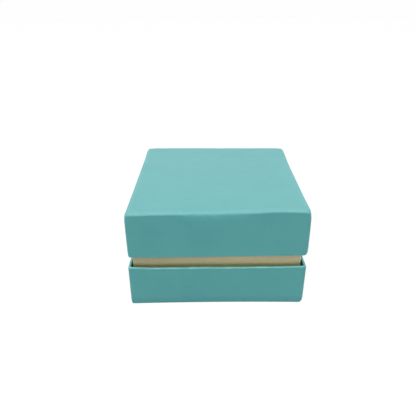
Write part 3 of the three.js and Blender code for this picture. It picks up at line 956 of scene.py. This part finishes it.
def make_pad():
    t = VELVET
    re, r = 1.8, 2.4
    z0, z1 = PAD_BOT, PAD_TOP
    b = Build()
    sh_out, sh_in = pad_shape(False), pad_shape(True)
    kw = dict(extra_y=SLIT_LINES, mid=30)
    rings = [add_cap(b, PAD_HALF - r, z1, shape=sh_out, **kw)]
    for h in (PAD_HALF - r + 0.45,):
        rings.append(add_ring(b, h, 0.45, z1, shape=sh_out, **kw))
    for k in range(0, 7):
        a = math.radians(15 * k)
        rings.append(add_ring(b, PAD_HALF - re + re * math.sin(a), r - re + re * math.sin(a), z1 - re * (1 - math.cos(a)), 0.5, shape=sh_out, **kw))
    for z in levels(z1 - re - 0.6, z0 + 0.3, 2.4) + [z0]:
        rings.append(add_ring(b, PAD_HALF, r, z, shape=sh_out, **kw))
    n_out = len(b.co)
    for z in [z0] + levels(z0 + 1, z1 - re - 0.8, 5.0):
        rings.append(add_ring(b, PAD_HALF - t, r - t, z, shape=sh_in, **kw))
    for k in range(6, -1, -1):
        a = math.radians(15 * k)
        rings.append(add_ring(b, PAD_HALF - re + (re - t) * math.sin(a), r - re + (re - t) * math.sin(a), z1 - re + (re - t) * math.cos(a), shape=sh_in, **kw))
    rings.append(add_ring(b, PAD_HALF - r + 0.45, 0.45, z1 - t, shape=sh_in, **kw))
    start = len(b.faces)
    last = add_cap(b, PAD_HALF - r, z1 - t, shape=sh_in, **kw)
    b.faces[start:] = [tuple(reversed(f)) for f in b.faces[start:]]
    rings.append(last)
    for a, c in zip(rings, rings[1:]):
        b.join(c, a)
    move = blow_up(b, n_out, 1.15, 1.35)
    # the puffed velvet stays inside the neck: it may be drawn in at the sides, not pushed out
    out = np.array(b.co[:n_out])
    for axis in (0, 1):
        side = np.abs(out[:, axis]) > PAD_HALF - 2.5
        outward = np.sign(out[:, axis]) * move[:, axis] > 0.12
        move[:, axis] = np.where(side & outward, np.sign(out[:, axis]) * 0.12, move[:, axis])
    tree = KDTree(n_out)
    for i, p in enumerate(b.co[:n_out]):
        tree.insert(p, i)
    tree.balance()
    everywhere = [move[i] if i < n_out else move[tree.find(p)[1]] for i, p in enumerate(b.co)]
    b.co = [tuple(np.array(p) + m) for p, m in zip(b.co, everywhere)]
    cover = b.make("pad_velvet_cover", "pad", VELVET_MAT, ["pad_cover"])
    for name, mat in (("pad_card", GREY), ("pad_foam_core", FOAM), ("pad_foam_front_strip", FOAM), ("pad_foam_back_strip", FOAM)):
        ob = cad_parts[name]
        ob.data.materials.clear()
        ob.data.materials.append(mat)


make_lid()
make_base()
make_neck()
make_pad()


# ------------------------------------------------------------------ stage, light and camera
def stage_sheet(name, heights, colour, glow):
    """A round sheet of floor or backdrop, given as (radius, height) rings."""
    b, n = [], 96
    verts, faces = [], []
    for r, z in heights:
        verts += [(r * math.cos(2 * math.pi * k / n), r * math.sin(2 * math.pi * k / n), z) for k in range(n)]
    for q in range(len(heights) - 1):
        for k in range(n):
            j = (k + 1) % n
            faces.append((q * n + k, (q + 1) * n + k, (q + 1) * n + j, q * n + j))
    me = bpy.data.meshes.new(name)
    me.from_pydata(verts, [], faces)
    me.polygons.foreach_set("use_smooth", [True] * len(me.polygons))
    me.update()
    ob = bpy.data.objects.new(name, me)
    bpy.context.scene.collection.objects.link(ob)
    m, nt, bsdf, vec = new_material(name + "_white")
    bsdf.inputs["Base Color"].default_value = (colour, colour, colour, 1)
    bsdf.inputs["Roughness"].default_value = 0.9
    bsdf.inputs["Specular IOR Level"].default_value = 0.1
    bsdf.inputs["Emission Color"].default_value = (1, 1, 1, 1)
    bsdf.inputs["Emission Strength"].default_value = glow
    me.materials.append(m)
    ob.visible_diffuse = False               # the white sweep throws no light up at the box
    return ob


def area(name, where, target, size, power, colour=(1, 1, 1)):
    light = bpy.data.lights.new(name, "AREA")
    light.shape = "RECTANGLE"
    light.size, light.size_y = size
    light.energy = power
    light.color = colour
    ob = bpy.data.objects.new(name, light)
    bpy.context.scene.collection.objects.link(ob)
    ob.location = where
    ob.rotation_euler = (Vector(target) - Vector(where)).to_track_quat("-Z", "Y").to_euler()
    return ob


stage_sheet("floor", [(0.0005, -0.0003), (0.05, -0.0003), (0.2, -0.0003), (0.8, -0.0003), (2.6, -0.0003)], 0.05, 0.98)
bounce = stage_sheet("floor_bounce", [(0.0005, -0.0001), (0.05, -0.0001), (0.2, -0.0001), (0.8, -0.0001), (2.6, -0.0001)], 0.85, 0.0)
bounce.visible_diffuse = True
bounce.visible_camera = False
bounce.visible_glossy = False
bounce.visible_shadow = False
backdrop = stage_sheet("backdrop", [(2.6, -0.0002), (2.8, 0.01), (2.95, 0.06), (3.05, 0.16), (3.10, 0.4), (3.12, 2.2)], 0.05, 0.98)
backdrop.visible_glossy = False
scene = bpy.context.scene
scene.view_settings.view_transform = "Standard"
scene.view_settings.look = "None"
world = bpy.data.worlds.new("studio")
scene.world = world
world.use_nodes = True
bg = world.node_tree.nodes["Background"]
bg.inputs["Color"].default_value = (1, 1, 1, 1)
bg.inputs["Strength"].default_value = 0.15
area("key", (0.0, -0.24, 0.95), (0, 0, 0.04), (1.0, 0.4), 7.3)
area("low", (0.0, -0.62, 0.78), (0, 0, 0.04), (1.2, 0.4), 2.85)
area("back", (0.0, 0.8, 0.62), (0, 0, 0.04), (1.2, 0.5), 5.6)

cam_data = bpy.data.cameras.new("camera")
cam = bpy.data.objects.new("camera", cam_data)
scene.collection.objects.link(cam)
cam_data.sensor_fit = "HORIZONTAL"
cam_data.sensor_width = 36.0
cam_data.lens = 407.06 / 416 * 36
cam_data.shift_y = (185.2 - 208) / 416
cam_data.dof.use_dof = False
cam_data.clip_start, cam_data.clip_end = 0.01, 20
pitch, yaw, roll = math.radians(25.509), math.radians(0.263), math.radians(-0.633)
fwd = Vector((-math.sin(yaw) * math.cos(pitch), math.cos(yaw) * math.cos(pitch), -math.sin(pitch)))
right = Vector((math.cos(yaw), math.sin(yaw), 0))
up = right.cross(fwd)
c, s = math.cos(roll), math.sin(roll)
r2, u2 = c * right + s * up, -s * right + c * up
cam.matrix_world = Matrix(((r2.x, u2.x, -fwd.x, -3.708 * 0.9 * MM), (r2.y, u2.y, -fwd.y, -238.15 * 0.9 * MM),
                           (r2.z, u2.z, -fwd.z, 166.813 * 0.9 * MM), (0, 0, 0, 1)))
scene.camera = cam

bpy.context.view_layer.update()
